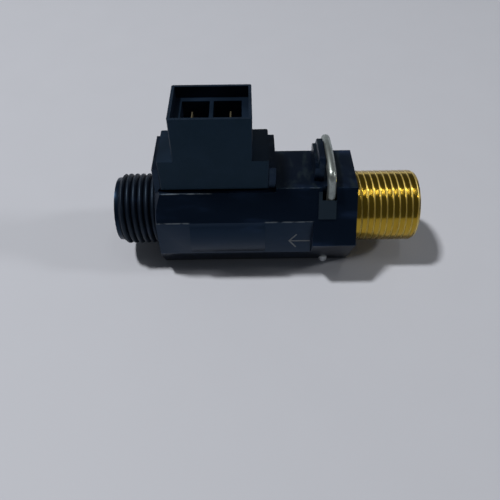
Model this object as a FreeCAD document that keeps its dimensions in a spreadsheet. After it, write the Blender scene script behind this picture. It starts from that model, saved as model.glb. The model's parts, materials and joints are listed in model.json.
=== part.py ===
import FreeCAD, Part
import math
import operator
import os
from types import SimpleNamespace

import Sketcher

# In-line flow switch for a half-inch water line, in millimetres.
# X runs along the flow axis from the moulded outlet (-X) to the brass inlet (+X), Z is up.
# The origin is under the middle of the part, on the surface that it stands on.
# Every body is drawn with its own origin on the flow axis, so heights below are measured from there.

SIZES = {
    # Hexagonal valve body
    "axis_height": 14.5,
    "hex_flats": 29.0,
    "side_flats": 26.4,
    "body_left": -31.5,
    "flange_left": 12.5,
    "flange_right": 24.68,
    "end_cone_radius": 14.13,
    "end_cone_rise": 3.0,
    "end_cone_length": 2.5,
    "edge_round": 0.4,
    "band_left": -22.1,
    "band_right": -0.9,
    "band_radius": 14.4,
    "seat_height": 13.45,
    "seat_right": 2.1,
    # Half-inch pipe thread, drawn at its major diameter
    "thread_radius": 10.4775,
    "thread_root": 9.38,
    "thread_chamfer": 1.0,
    "outlet_end": -44.0,
    "pilot_length": 1.0,
    # Waterway through the body
    "socket_radius": 11.0,
    "socket_floor": 5.4,
    "chamber_radius": 9.6,
    "chamber_end": -24.0,
    "ledge_radius": 8.6,
    "throat_end": -28.0,
    "outlet_radius": 6.5,
    # Snap lugs that hold the switch module
    "lug_top": 20.85,
    "lug_width": 15.0,
    "lug_left_out": -31.2,
    "lug_left_in": -29.6,
    "lug_right_in": 0.2,
    "lug_right_out": 2.0,
    "hook_width": 7.0,
    "hook_reach": 0.7,
    "hook_low": 17.4,
    "hook_high": 19.2,
    # Wire clip, the pads with its slots and its post
    "clip_plane": 17.35,
    "clip_wire": 1.25,
    "clip_half_width": 9.0,
    "clip_bend_height": 13.8,
    "clip_tip_height": -13.9,
    "clip_lean": 4.5,
    "clip_turn": 8.0,
    "clip_top": 20.1,
    "clip_knee": 2.0,
    "clip_bow": 28.0,
    "clip_hole": 1.35,
    "pad_left": 13.9,
    "pad_right": 18.8,
    "pad_near": 8.95,
    "pad_far": 12.8,
    "pad_rise": 0.3,
    "slot_left": 14.9,
    "slot_far": 10.38,
    "slot_floor": 9.0,
    "post_left": 12.8,
    "post_step": 13.85,
    "post_right": 15.45,
    "post_slope": 0.6,
    "post_half_width": 5.5,
    "post_top": 21.45,
    "step_top": 19.9,
    "post_corner": 1.0,
    # Brass inlet nipple
    "inlet_end": 44.0,
    "nipple_inner_end": 9.4,
    "nipple_spigot": 10.95,
    "nipple_bore": 6.5,
    "nipple_chamfer": 0.6,
    "clip_groove_floor": 7.65,
    "clip_groove_width": 2.8,
    "ring_groove_middle": 12.6,
    "ring_groove_width": 2.3,
    "ring_groove_floor": 9.36,
    "ring_section": 0.8,
    "ring_middle": 10.17,
    # Orifice that the piston closes
    "seat_face": 8.3,
    "seat_outer": 10.9,
    "orifice": 5.0,
    "seat_cone": 6.0,
    "seat_cone_depth": 0.8,
    "seal_groove_width": 1.5,
    "seal_groove_floor": 9.8,
    "seal_middle_place": 6.85,
    "seal_section": 0.55,
    "seal_middle": 10.38,
    # Inlet strainer
    "strainer_flange_left": 8.35,
    "strainer_flange_right": 9.35,
    "strainer_flange_radius": 10.6,
    "strainer_outer": 5.6,
    "strainer_inner": 4.9,
    "strainer_end": 31.0,
    "strainer_cap": 1.2,
    "window_start": 11.4,
    "window_end": 28.6,
    "strainer_rib": 2.0,
    "mesh_outer": 4.85,
    "mesh_inner": 4.55,
    "mesh_start": 8.6,
    "mesh_end": 29.6,
    # Piston with its magnet
    "piston_gap": 0.1,
    "nose_end": 7.4,
    "nose_radius": 3.6,
    "head_back": 2.6,
    "head_radius": 8.4,
    "fin_radius": 9.45,
    "fin_width": 1.8,
    "barrel_radius": 5.0,
    "barrel_end": -6.4,
    "stem_radius": 2.0,
    "stem_end": -27.0,
    "magnet_inner": 5.05,
    "magnet_outer": 8.0,
    "magnet_left": -5.4,
    "retainer_outer": 7.6,
    "retainer_left": -7.9,
    "retainer_bore": 2.04,
    "sleeve_outer": 3.1,
    "sleeve_end": -13.95,
    # Return spring and its guide
    "spring_wire": 0.35,
    "spring_middle": 4.2,
    "spring_turns": 6.5,
    "spring_gap": 0.03,
    "guide_right": -21.0,
    "guide_ring_right": -21.8,
    "guide_left": -24.0,
    "guide_outer": 9.5,
    "guide_ring_inner": 8.3,
    "guide_hub": 4.9,
    "guide_hub_left": -25.6,
    "guide_bore": 2.09,
    "guide_spoke": 1.8,
    # Switch module
    "module_middle": -14.8,
    "base_left": -29.55,
    "base_right": 0.15,
    "base_back": 6.3,
    "module_front": 8.0,
    "shoulder_top": 23.6,
    "tower_length": 21.0,
    "tower_foot": 20.0,
    "rim_top": 36.5,
    "rim_wall": 0.8,
    "mouth_depth": 3.2,
    "cell_width": 7.4,
    "cell_partition": 1.0,
    "cell_half_depth": 5.3,
    "cell_floor": 22.5,
    "chamber_length": 25.2,
    "chamber_half_depth": 4.6,
    "chamber_top": 20.5,
    "module_round": 0.5,
    "base_chamfer": 0.8,
    "pocket_play": 0.1,
    "cover_thick": 1.2,
    "cover_play": 0.05,
    # Contacts and reed
    "terminal_spacing": 10.0,
    "blade_thick": 0.6,
    "blade_width": 2.8,
    "blade_tip": 32.6,
    "blade_point": 0.8,
    "slot_play": 0.03,
    "foot_top": 19.4,
    "foot_reach": 10.2,
    "reed_height": 16.4,
    "reed_radius": 1.15,
    "reed_length": 14.0,
    "reed_wall": 0.25,
    "reed_plug": 1.8,
    "lead_radius": 0.3,
    "lead_play": 0.01,
    "lead_reach": 10.8,
    "lead_inner": 4.6,
    "contact_thick": 0.2,
    "contact_width": 1.2,
    "contact_lap": 0.9,
    "contact_gap": 0.1,
}

SHEET = "Sizes"
ROOT_3 = math.sqrt(3)
FINS = 4
STRAINER_RIBS = 4
SPOKES = 3
RING_SIDES = 6
SPRING_SIDES = 4
CLIP_SIDES = 8

doc = FreeCAD.newDocument("flow_switch")


class Size:
    """A length together with the sheet expression that gives it."""

    def __init__(self, value, text):
        self.value = value
        self.text = text

    def joined(self, sign, work, other, swapped=False):
        first, second = (as_size(other), self) if swapped else (self, as_size(other))
        return Size(work(first.value, second.value), f"({first.text} {sign} {second.text})")

    def __add__(self, other):
        return self.joined("+", operator.add, other)

    def __radd__(self, other):
        return self.joined("+", operator.add, other, swapped=True)

    def __sub__(self, other):
        return self.joined("-", operator.sub, other)

    def __rsub__(self, other):
        return self.joined("-", operator.sub, other, swapped=True)

    def __mul__(self, other):
        return self.joined("*", operator.mul, other)

    def __rmul__(self, other):
        return self.joined("*", operator.mul, other, swapped=True)

    def __truediv__(self, other):
        return self.joined("/", operator.truediv, other)

    def __neg__(self):
        return 0 - self


def as_size(number):
    """A plain number or a Size, as a Size."""
    if isinstance(number, Size):
        return number
    return Size(float(number), f"({float(number)!r})")


def fill_sheet():
    """Writes the driving sizes to the sheet and returns them as named Sizes."""
    sheet = doc.addObject("Spreadsheet::Sheet", SHEET)
    for row, (name, value) in enumerate(SIZES.items(), start=1):
        sheet.set(f"A{row}", name)
        sheet.set(f"B{row}", str(value))
        sheet.setAlias(f"B{row}", name)
    doc.recompute()
    return SimpleNamespace(**{n: Size(v, f"{SHEET}.{n}") for n, v in SIZES.items()})


def bind(thing, **sizes):
    """Binds properties of a document object to sheet expressions."""
    for name, value in sizes.items():
        thing.setExpression(name.replace("__", "."), as_size(value).text)


# Sketches and features


def new_body(label, x=0, z=0):
    """A body whose origin is on the flow axis, or moved from there by x and z."""
    body = doc.addObject("PartDesign::Body", label)
    body.Label = label
    bind(body, Placement__Base__x=x, Placement__Base__z=d.axis_height + z)
    return body


def datum(body, role):
    """One of the body's own origin planes or axes."""
    return next(f for f in body.Origin.OriginFeatures if f.Role == role)


def new_sketch(body, role, offset=0):
    """A sketch on an origin plane, moved along the plane's normal by offset."""
    sketch = body.newObject("Sketcher::SketchObject", f"{body.Label}_sketch")
    sketch.AttachmentSupport = (datum(body, role), [""])
    sketch.MapMode = "FlatFace"
    bind(sketch, AttachmentOffset__Base__z=offset)
    return sketch


def pin(sketch, geometry, point, x, y):
    """Holds one point of a sketch at its distances from the sketch's origin."""
    for kind, axis, distance in (("DistanceX", -2, x), ("DistanceY", -1, y)):
        distance = as_size(distance)
        if distance.value == 0:
            sketch.addConstraint(Sketcher.Constraint("PointOnObject", geometry, point, axis))
            continue
        index = sketch.addConstraint(
            Sketcher.Constraint(kind, -1, 1, geometry, point, distance.value)
        )
        sketch.setExpression(f"Constraints[{index}]", distance.text)


def outline(sketch, corners):
    """A closed chain of straight lines through the corners."""
    points = [FreeCAD.Vector(as_size(x).value, as_size(y).value, 0) for x, y in corners]
    first = sketch.GeometryCount
    for start, end in zip(points, points[1:] + points[:1]):
        sketch.addGeometry(Part.LineSegment(start, end), False)
    for i, (x, y) in enumerate(corners):
        after = (i + 1) % len(corners)
        sketch.addConstraint(Sketcher.Constraint("Coincident", first + i, 2, first + after, 1))
        pin(sketch, first + i, 1, x, y)


def rectangle(sketch, left, right, low, high):
    outline(sketch, [(left, low), (right, low), (right, high), (left, high)])


def circle(sketch, x, y, radius):
    x, y, radius = as_size(x), as_size(y), as_size(radius)
    middle = FreeCAD.Vector(x.value, y.value, 0)
    ring = Part.Circle(middle, FreeCAD.Vector(0, 0, 1), radius.value)
    index = sketch.addGeometry(ring, False)
    pin(sketch, index, 3, x, y)
    held = sketch.addConstraint(Sketcher.Constraint("Radius", index, radius.value))
    sketch.setExpression(f"Constraints[{held}]", radius.text)


def feature(body, kind, sketch):
    """A feature of the body made from a sketch, with the volume before it noted for the check."""
    doc.recompute()
    before = body.Shape.Volume if body.Tip else 0.0
    made = body.newObject(f"PartDesign::{kind}", f"{body.Label}_{kind.lower()}")
    made.Profile = sketch
    return made, before


def finished(made, before):
    """Recomputes, and stops if the feature changed nothing."""
    doc.recompute()
    if not made.isValid() or abs(made.Shape.Volume - before) < 1e-6:
        raise RuntimeError(f"{made.Name} failed or changed nothing")
    return made


def pad(body, sketch, length, both_ways=False, back=False):
    made, before = feature(body, "Pad", sketch)
    made.SideType = "Symmetric" if both_ways else "One side"
    made.Reversed = back
    bind(made, Length=length)
    return finished(made, before)


def pocket(body, sketch, length=None, both_ways=False, back=False):
    """Cuts against the sketch's normal, or along it with back; no length means right through."""
    made, before = feature(body, "Pocket", sketch)
    made.SideType = "Symmetric" if both_ways else "One side"
    made.Reversed = back
    if length is None:
        made.Type = "ThroughAll"
    else:
        bind(made, Length=length)
    return finished(made, before)


def turned(body, sketch, kind="Revolution", angle=360):
    """Revolves a sketch about the body's X axis, half of the angle each way; kind Groove cuts."""
    made, before = feature(body, kind, sketch)
    made.ReferenceAxis = (sketch, ["H_Axis"])
    made.Midplane = angle < 360
    made.Angle = angle
    return finished(made, before)


def repeated(body, made, kind, **settings):
    """A pattern or mirror of one feature, set as the body's tip."""
    pattern = body.newObject(f"PartDesign::{kind}", f"{body.Label}_{kind.lower()}")
    pattern.Originals = [made]
    for name, value in settings.items():
        setattr(pattern, name, value)
    body.Tip = pattern
    doc.recompute()
    return pattern


def around(body, made, count):
    """Repeats a feature evenly about the body's X axis."""
    axis = (datum(body, "X_Axis"), [""])
    return repeated(body, made, "PolarPattern", Axis=axis, Angle=360, Occurrences=count)


def mirrored(body, made):
    """Repeats a feature on the far side of the XZ plane."""
    return repeated(body, made, "Mirrored", MirrorPlane=(datum(body, "XZ_Plane"), [""]))


def rounded(body, base, radius, wanted):
    """Fillets the edges of a feature that the test picks out."""
    names = [f"Edge{i}" for i, edge in enumerate(base.Shape.Edges, 1) if wanted(edge)]
    made = body.newObject("PartDesign::Fillet", f"{body.Label}_fillet")
    made.Base = (base, names)
    bind(made, Radius=radius)
    return finished(made, base.Shape.Volume)


def runs_along(edge, axis):
    """True for a straight edge along an axis, given as 0, 1 or 2."""
    if not isinstance(edge.Curve, Part.Line):
        return False
    return abs(abs(edge.Curve.Direction[axis]) - 1) < 1e-6


def polygon(sketch, x, y, radius, sides):
    """Regular outline round a point, which stands for a thin round section."""
    angles = [(i + 0.5) * 2 * math.pi / sides for i in range(sides)]
    outline(sketch, [(x + radius * math.cos(a), y + radius * math.sin(a)) for a in angles])


def ring(label, middle, place, section):
    """A rubber ring about the flow axis."""
    body = new_body(label)
    cross = new_sketch(body, "XZ_Plane")
    polygon(cross, place, middle, section, RING_SIDES)
    turned(body, cross)
    return body


# Valve body


def hexagon():
    """Corners of the hexagon with flats at the top and bottom."""
    side, flat = d.hex_flats / ROOT_3, d.hex_flats / 2
    half = side / 2
    return [(-half, flat), (half, flat), (side, 0), (half, -flat), (-half, -flat), (-side, 0)]


def trimmed_hexagon():
    """The hexagon with its front and back corners cut off by upright flats."""
    side, flat, wide = d.hex_flats / ROOT_3, d.hex_flats / 2, d.side_flats / 2
    half, cut = side / 2, (side - wide) * ROOT_3
    upper = [(-wide, cut), (-half, flat), (half, flat), (wide, cut)]
    return upper + [(y, -z) for y, z in reversed(upper)]


def is_hexagon_corner(edge):
    """True for the long edges of the body that stand further out than the rounded band."""
    if not runs_along(edge, 0):
        return False
    middle = edge.CenterOfMass
    return math.hypot(middle.y, middle.z) > d.band_radius.value + d.edge_round.value / 4


def valve_body():
    """One moulding: hexagon, flange, outlet spigot, waterway, snap lugs, clip pads and clip post."""
    body = new_body("valve_body")
    band = new_sketch(body, "YZ_Plane", d.band_left)
    circle(band, 0, 0, d.band_radius)
    pad(body, band, d.band_right - d.band_left)
    barrel = new_sketch(body, "YZ_Plane", d.body_left)
    outline(barrel, trimmed_hexagon())
    pad(body, barrel, d.flange_left - d.body_left)
    flange = new_sketch(body, "YZ_Plane", d.flange_left)
    outline(flange, hexagon())
    pad(body, flange, d.flange_right - d.flange_left)
    seat = new_sketch(body, "XZ_Plane")
    rectangle(seat, d.body_left, d.seat_right, d.seat_height, d.hex_flats)
    shaped = pocket(body, seat, d.hex_flats * 2, both_ways=True)
    rounded(body, shaped, d.edge_round, is_hexagon_corner)
    cone = new_sketch(body, "XZ_Plane")
    low, high = d.end_cone_radius, d.end_cone_radius + d.end_cone_rise
    outline(cone, [(d.body_left, low), (d.body_left + d.end_cone_length, high), (d.body_left, high)])
    turned(body, cone, "Groove", angle=180)

    snap_lugs(body)
    outlet_spigot(body)
    clip_post(body)
    clip_pads(body)
    waterway(body)
    legs = new_sketch(body, "XY_Plane")
    for side in (1, -1):
        circle(legs, d.clip_plane, side * d.clip_half_width, d.clip_hole)
    pocket(body, legs, both_ways=True)
    return body


def snap_lugs(body):
    """Two upright lugs at the ends of the module, each with a hook that faces it."""
    lugs = new_sketch(body, "XZ_Plane")
    foot = d.seat_height - 1
    rectangle(lugs, d.lug_left_out, d.lug_left_in, foot, d.lug_top)
    rectangle(lugs, d.lug_right_in, d.lug_right_out, foot, d.lug_top)
    pad(body, lugs, d.lug_width, both_ways=True)
    hooks = new_sketch(body, "XZ_Plane")
    bevel = d.hook_high - d.hook_reach
    for root, tip in (
        (d.lug_left_out, d.lug_left_in + d.hook_reach),
        (d.lug_right_out, d.lug_right_in - d.hook_reach),
    ):
        face = d.lug_left_in if root is d.lug_left_out else d.lug_right_in
        outline(
            hooks,
            [(root, d.hook_low), (tip, d.hook_low), (tip, bevel), (face, d.hook_high), (root, d.hook_high)],
        )
    pad(body, hooks, d.hook_width, both_ways=True)


def outlet_spigot(body):
    """Threaded outlet at its major diameter, with a plain pilot at the end."""
    spigot = new_sketch(body, "XZ_Plane")
    start, thread_end = d.chamber_end, d.outlet_end + d.pilot_length
    profile = [
        (start, 0),
        (start, d.thread_radius),
        (thread_end + d.thread_chamfer, d.thread_radius),
        (thread_end, d.thread_root),
        (d.outlet_end, d.thread_root),
        (d.outlet_end, 0),
    ]
    outline(spigot, profile)
    turned(body, spigot)


def clip_post(body):
    """Stepped post on the flange that the clip's bow stands against, with a slope above its step."""
    foot = d.hex_flats / 2 - 1
    wide, corner = d.post_half_width, d.post_corner
    for left, right, top in (
        (d.post_left, d.post_step, d.step_top),
        (d.post_step, d.post_right, d.post_top),
    ):
        wall = new_sketch(body, "YZ_Plane", left)
        outline(
            wall,
            [
                (-wide, foot),
                (-wide, top - corner),
                (-wide + corner, top),
                (wide - corner, top),
                (wide, top - corner),
                (wide, foot),
            ],
        )
        pad(body, wall, right - left)
    slope = new_sketch(body, "XZ_Plane")
    low = d.step_top - corner
    foot_left, foot_right = d.post_step - d.post_slope, d.post_step + corner
    outline(slope, [(foot_left, low), (foot_right, low), (d.post_step, d.post_top)])
    pad(body, slope, (wide - corner) * 2, both_ways=True)


def clip_pads(body):
    """Low pad on each upper facet of the flange, with a slot round the clip's leg."""
    raised = new_sketch(body, "YZ_Plane", d.pad_left)
    side = d.hex_flats / ROOT_3
    corners = []
    for across, rise in (
        (d.pad_near, d.pad_rise),
        (d.pad_far, d.pad_rise),
        (d.pad_far, -d.pad_rise),
        (d.pad_near, -d.pad_rise),
    ):
        height = (side - across) * ROOT_3
        corners.append((-across - rise * (ROOT_3 / 2), height + rise / 2))
    outline(raised, corners)
    mirrored(body, pad(body, raised, d.pad_right - d.pad_left))
    slot = new_sketch(body, "XY_Plane", d.slot_floor)
    inner = d.clip_half_width - d.clip_hole
    rectangle(slot, d.slot_left, d.pad_right, -d.slot_far, -inner)
    mirrored(body, pocket(body, slot, d.hex_flats / 2 - d.slot_floor, back=True))


def waterway(body):
    """Stepped bore: nipple socket, piston chamber, ledge for the spring guide, throat and outlet."""
    bore = new_sketch(body, "XZ_Plane")
    profile = [
        (d.flange_right, 0),
        (d.flange_right, d.socket_radius),
        (d.socket_floor, d.socket_radius),
        (d.socket_floor, d.chamber_radius),
        (d.chamber_end, d.chamber_radius),
        (d.chamber_end, d.ledge_radius),
        (d.throat_end, d.outlet_radius),
        (d.outlet_end, d.outlet_radius),
        (d.outlet_end, 0),
    ]
    outline(bore, profile)
    turned(body, bore, "Groove")


# Inlet


def inlet_nipple():
    """Turned brass nipple: thread outside, spigot with a clip groove and a ring groove inside the flange."""
    body = new_body("inlet_nipple")
    turning = new_sketch(body, "XZ_Plane")
    inner, spigot, chamfer = d.nipple_inner_end, d.nipple_spigot, d.nipple_chamfer
    outside = [(inner, d.nipple_bore), (inner, spigot - chamfer), (inner + chamfer, spigot)]
    for middle, width, floor in (
        (d.ring_groove_middle, d.ring_groove_width, d.ring_groove_floor),
        (d.clip_plane, d.clip_groove_width, d.clip_groove_floor),
    ):
        left, right = middle - width / 2, middle + width / 2
        outside += [(left, spigot), (left, floor), (right, floor), (right, spigot)]
    outside += [
        (d.flange_right, spigot),
        (d.flange_right, d.thread_radius),
        (d.inlet_end - d.thread_chamfer, d.thread_radius),
        (d.inlet_end, d.thread_root),
        (d.inlet_end, d.nipple_bore + chamfer),
        (d.inlet_end - chamfer, d.nipple_bore),
    ]
    outline(turning, outside)
    turned(body, turning)
    return body


def clip_route(side):
    """Wire's centre line on one side, from its tip up the leg, round bend and knee to the bow's middle."""
    lean, turn = math.radians(d.clip_lean.value), d.clip_turn.value
    half, base = d.clip_half_width.value, d.axis_height.value
    knee, bow = d.clip_knee.value, d.clip_bow.value
    bend = base + d.clip_bend_height.value

    def on_bend(angle):
        back, rise = turn * (1 - math.cos(angle)), turn * math.sin(angle)
        return FreeCAD.Vector(d.clip_plane.value - back, side * half, bend - turn * lean + rise)

    tip = FreeCAD.Vector(d.clip_plane.value, side * half, base + d.clip_tip_height.value)
    start, middle, end = (on_bend(lean * share) for share in (0, 0.5, 1))
    upwards = FreeCAD.Vector(-math.sin(lean), 0, math.cos(lean))
    outwards = FreeCAD.Vector(0, side, 0)
    swing = math.asin((half - knee) / (bow - knee))
    top = (base + d.clip_top.value - end.z) / upwards.z
    hub = end - outwards * knee + upwards * (top - bow + (bow - knee) * math.cos(swing))

    def on_knee(angle):
        return hub + outwards * (knee * math.cos(angle)) + upwards * (knee * math.sin(angle))

    knee_points = [on_knee(share * (math.pi / 2 - swing)) for share in (0, 0.5, 1)]
    apex = end - outwards * half + upwards * top
    return [tip, start, middle, end, *knee_points, apex]


def clip_half(points):
    """Edges of one half of the wire's centre line: leg, bend, short straight and knee."""
    tip, start, middle, end, knee_start, knee_middle, knee_end, _ = points
    return [
        Part.LineSegment(tip, start).toShape(),
        Part.Arc(start, middle, end).toShape(),
        Part.LineSegment(end, knee_start).toShape(),
        Part.Arc(knee_start, knee_middle, knee_end).toShape(),
    ]


def retaining_clip():
    """Round wire: two straight legs whose tops bend towards the post, tight knees and a low bow between."""
    near, far = clip_route(1), clip_route(-1)
    bow = Part.Arc(near[-2], near[-1], far[-2]).toShape()
    path = doc.addObject("Part::Feature", "clip_path")
    path.Shape = Part.Wire(Part.__sortEdges__(clip_half(near) + [bow] + clip_half(far)[::-1]))
    section = doc.addObject("Part::RegularPolygon", "clip_section")
    section.Polygon = CLIP_SIDES
    bind(
        section,
        Circumradius=d.clip_wire,
        Placement__Base__x=d.clip_plane,
        Placement__Base__y=d.clip_half_width,
        Placement__Base__z=d.axis_height + d.clip_tip_height,
    )
    clip = doc.addObject("Part::Sweep", "retaining_clip")
    clip.Label = "retaining_clip"
    clip.Sections = [section]
    clip.Spine = (path, [f"Edge{i}" for i in range(1, len(path.Shape.Edges) + 1)])
    clip.Solid = True
    return clip


def inlet_o_ring():
    """Seal in the nipple's ring groove."""
    return ring("inlet_o_ring", d.ring_middle, d.ring_groove_middle, d.ring_section)


def strainer_frame():
    """Moulded basket with a clamped flange, a closed far end and long windows between ribs."""
    body = new_body("strainer_frame")
    shell = new_sketch(body, "XZ_Plane")
    cap = d.strainer_end - d.strainer_cap
    profile = [
        (d.strainer_flange_left, d.strainer_inner),
        (d.strainer_flange_left, d.strainer_flange_radius),
        (d.strainer_flange_right, d.strainer_flange_radius),
        (d.strainer_flange_right, d.strainer_outer),
        (cap, d.strainer_outer),
        (d.strainer_end, d.strainer_outer - d.strainer_cap),
        (d.strainer_end, 0),
        (cap, 0),
        (cap, d.strainer_inner),
    ]
    outline(shell, profile)
    turned(body, shell)
    window = new_sketch(body, "XZ_Plane")
    edge = d.strainer_rib / 2
    turn = d.strainer_inner / math.sqrt(2)
    rectangle(window, d.window_start, d.window_end, edge - turn, turn - edge)
    around(body, pocket(body, window, d.strainer_flange_radius), STRAINER_RIBS)
    return body


def tube(label, left, right, inner, outer):
    """A plain sleeve about the flow axis."""
    body = new_body(label)
    wall = new_sketch(body, "XZ_Plane")
    rectangle(wall, left, right, inner, outer)
    turned(body, wall)
    return body


def strainer_mesh():
    """Sleeve of woven mesh inside the basket."""
    return tube("strainer_mesh", d.mesh_start, d.mesh_end, d.mesh_inner, d.mesh_outer)


# Piston side


def seat_ring():
    """Orifice ring with a conical seat towards the piston and a groove for its seal."""
    body = new_body("seat_ring")
    turning = new_sketch(body, "XZ_Plane")
    half = d.seal_groove_width / 2
    left, right = d.seal_middle_place - half, d.seal_middle_place + half
    profile = [
        (d.socket_floor, d.seat_cone),
        (d.socket_floor, d.seat_outer),
        (left, d.seat_outer),
        (left, d.seal_groove_floor),
        (right, d.seal_groove_floor),
        (right, d.seat_outer),
        (d.seat_face, d.seat_outer),
        (d.seat_face, d.orifice),
        (d.socket_floor + d.seat_cone_depth, d.orifice),
    ]
    outline(turning, profile)
    turned(body, turning)
    return body


def seat_o_ring():
    """Seal round the seat ring."""
    return ring("seat_o_ring", d.seal_middle, d.seal_middle_place, d.seal_section)


def piston():
    """Shuttle: conical nose, head with guide fins, barrel for the magnet and a long stem."""
    body = new_body("piston")
    turning = new_sketch(body, "XZ_Plane")
    face = d.socket_floor - d.piston_gap
    profile = [
        (d.nose_end, 0),
        (d.nose_end, d.nose_radius),
        (face + d.seat_cone_depth, d.orifice),
        (face, d.seat_cone),
        (face, d.head_radius),
        (d.head_back, d.head_radius),
        (d.head_back, d.barrel_radius),
        (d.barrel_end, d.barrel_radius),
        (d.barrel_end, d.stem_radius),
        (d.stem_end, d.stem_radius),
        (d.stem_end, 0),
    ]
    outline(turning, profile)
    turned(body, turning)
    fin = new_sketch(body, "XY_Plane")
    rectangle(fin, d.head_back, face, -d.fin_width / 2, d.fin_width / 2)
    around(body, pad(body, fin, d.fin_radius), FINS)
    return body


def piston_magnet():
    """Ring magnet on the piston's barrel."""
    return tube("piston_magnet", d.magnet_left, d.head_back, d.magnet_inner, d.magnet_outer)


def magnet_retainer():
    """Cap over the barrel's end that holds the magnet, with a sleeve that stops the stroke."""
    body = new_body("magnet_retainer")
    turning = new_sketch(body, "XZ_Plane")
    profile = [
        (d.magnet_left, d.magnet_inner),
        (d.magnet_left, d.retainer_outer),
        (d.retainer_left, d.retainer_outer),
        (d.retainer_left, d.sleeve_outer),
        (d.sleeve_end, d.sleeve_outer),
        (d.sleeve_end, d.retainer_bore),
        (d.barrel_end, d.retainer_bore),
        (d.barrel_end, d.magnet_inner),
    ]
    outline(turning, profile)
    turned(body, turning)
    return body


def return_spring():
    """Compression spring between the retainer and the guide."""
    body = new_body("return_spring")
    wire = new_sketch(body, "XZ_Plane")
    start = d.guide_right + d.spring_wire + d.spring_gap
    end = d.retainer_left - d.spring_wire - d.spring_gap
    polygon(wire, start, d.spring_middle, d.spring_wire, SPRING_SIDES)
    coil, before = feature(body, "AdditiveHelix", wire)
    coil.ReferenceAxis = (wire, ["H_Axis"])
    coil.Mode = "height-turns-angle"
    bind(coil, Height=end - start, Turns=d.spring_turns)
    finished(coil, before)
    return body


def spring_guide():
    """Ring, three spokes and a hub that guides the stem and carries the spring."""
    body = new_body("spring_guide")
    turning = new_sketch(body, "XZ_Plane")
    profile = [
        (d.guide_hub_left, d.guide_bore),
        (d.guide_right, d.guide_bore),
        (d.guide_right, d.guide_hub),
        (d.guide_ring_right, d.guide_hub),
        (d.guide_ring_right, d.guide_outer),
        (d.guide_left, d.guide_outer),
        (d.guide_left, d.guide_hub),
        (d.guide_hub_left, d.guide_hub - d.spring_wire),
    ]
    outline(turning, profile)
    turned(body, turning)
    window = new_sketch(body, "YZ_Plane", d.guide_ring_right)
    arc_window(window, d.guide_hub, d.guide_ring_inner, d.guide_spoke / 2)
    around(body, pocket(body, window, d.guide_ring_right - d.guide_left), SPOKES)
    return body


def arc_window(sketch, inner, outer, edge):
    """Opening between two circles and two spokes that are set half a turn of the pattern apart."""
    half = math.pi / SPOKES
    up = FreeCAD.Vector(0, 0, 1)
    middle = math.pi / 2
    for radius in (inner, outer):
        spread = half - math.asin(edge.value / radius.value)
        ring_line = Part.Circle(FreeCAD.Vector(), up, radius.value)
        sketch.addGeometry(Part.ArcOfCircle(ring_line, middle - spread, middle + spread), False)
    low, high = sketch.Geometry[0], sketch.Geometry[1]
    sketch.addGeometry(Part.LineSegment(low.EndPoint, high.EndPoint), False)
    sketch.addGeometry(Part.LineSegment(high.StartPoint, low.StartPoint), False)
    for first, at, second, to in ((0, 2, 2, 1), (2, 2, 1, 2), (1, 1, 3, 1), (3, 2, 0, 1)):
        sketch.addConstraint(Sketcher.Constraint("Coincident", first, at, second, to))
    for arc, radius in ((0, inner), (1, outer)):
        pin(sketch, arc, 3, 0, 0)
        held = sketch.addConstraint(Sketcher.Constraint("Radius", arc, radius.value))
        sketch.setExpression(f"Constraints[{held}]", radius.text)


# Switch module


def switch_housing():
    """Moulded housing: base on the body, connector tower with two cells, reed chamber underneath."""
    body = new_body("switch_housing")
    middle, half_tower = d.module_middle, d.tower_length / 2

    base = new_sketch(body, "XY_Plane", d.seat_height)
    rectangle(base, d.base_left, d.base_right, -d.module_front, d.base_back)
    pad(body, base, d.shoulder_top - d.seat_height)
    tower = new_sketch(body, "XY_Plane", d.tower_foot)
    rectangle(tower, middle - half_tower, middle + half_tower, -d.module_front, d.module_front)
    block = pad(body, tower, d.rim_top - d.tower_foot)
    rounded(body, block, d.module_round, lambda edge: runs_along(edge, 2))

    foot = new_sketch(body, "YZ_Plane", d.base_right)
    front, seat, cut = -d.module_front, d.seat_height, d.base_chamfer
    outline(foot, [(front - cut, seat), (front + cut, seat), (front - cut, seat + cut * 2)])
    pocket(body, foot, d.base_right - d.base_left)
    mouth = new_sketch(body, "XY_Plane", d.rim_top)
    inside = half_tower - d.rim_wall
    depth = d.module_front - d.rim_wall
    rectangle(mouth, middle - inside, middle + inside, -depth, depth)
    pocket(body, mouth, d.mouth_depth)
    cells = new_sketch(body, "XY_Plane", d.rim_top - d.mouth_depth)
    near, far = d.cell_partition / 2, d.cell_partition / 2 + d.cell_width
    rectangle(cells, middle - far, middle - near, -d.cell_half_depth, d.cell_half_depth)
    rectangle(cells, middle + near, middle + far, -d.cell_half_depth, d.cell_half_depth)
    pocket(body, cells, d.rim_top - d.mouth_depth - d.cell_floor)

    chamber = new_sketch(body, "XY_Plane", d.seat_height)
    length, width = d.chamber_length / 2, d.chamber_half_depth
    rectangle(chamber, middle - length, middle + length, -width, width)
    pocket(body, chamber, d.chamber_top - d.seat_height, back=True)
    slots = new_sketch(body, "XY_Plane", d.cell_floor)
    for side in (-1, 1):
        place = middle + side * d.terminal_spacing / 2
        thick, wide = d.blade_thick / 2 + d.slot_play, d.blade_width / 2 + d.slot_play
        rectangle(slots, place - thick, place + thick, -wide, wide)
    pocket(body, slots, d.cell_floor - d.chamber_top)

    catches = new_sketch(body, "XZ_Plane")
    low, high = d.hook_low - d.pocket_play, d.hook_high + d.pocket_play
    reach = d.hook_reach + d.pocket_play
    rectangle(catches, d.base_left, d.lug_left_in + reach, low, high)
    rectangle(catches, d.lug_right_in - reach, d.base_right, low, high)
    pocket(body, catches, d.hook_width + d.pocket_play * 2, both_ways=True)
    return body


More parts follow.
